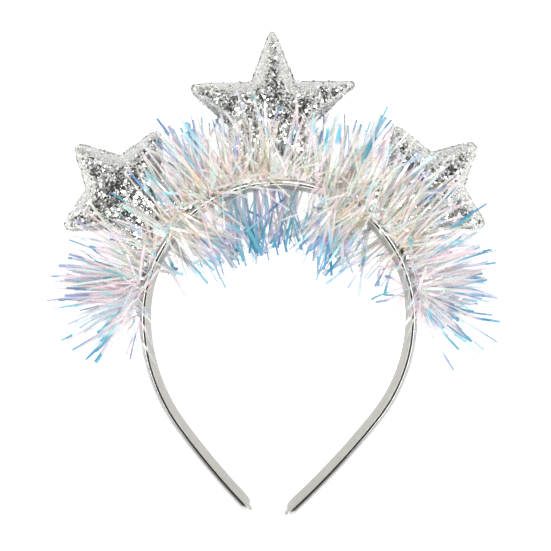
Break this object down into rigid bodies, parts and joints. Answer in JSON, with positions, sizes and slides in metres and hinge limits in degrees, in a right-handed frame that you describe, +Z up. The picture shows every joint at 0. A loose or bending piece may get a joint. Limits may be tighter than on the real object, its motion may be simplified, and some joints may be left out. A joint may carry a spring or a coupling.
{
  "type": "star headband",
  "caption": "Costume headband: a silver covered strip for the head, puffed glitter stars standing on its crown and an iridescent tinsel garland along it.",
  "frame": {"origin": "middle of the headband's plan, on the surface that it lies on", "axes": "+Y from the leg tips towards the top star, +X to the right seen from the front, +Z up out of the front of the loop"},
  "size_m": [0.1908, 0.2176, 0.0324],
  "materials": {
    "silver_cover": "silver coated leatherette, satin inside and glossy along the folded edge",
    "star_glitter": "cloth set with coarse and fine silver glitter",
    "tinsel_film": "thin clear film with a pearly shift from cream and pink to sky blue"
  },
  "bodies": {
    "root": {"band": "silver_cover", "star_center": "star_glitter", "star_left": "star_glitter", "star_right": "star_glitter", "tinsel_outer": "tinsel_film", "tinsel_inner": "tinsel_film"}
  },
  "joints": []
}
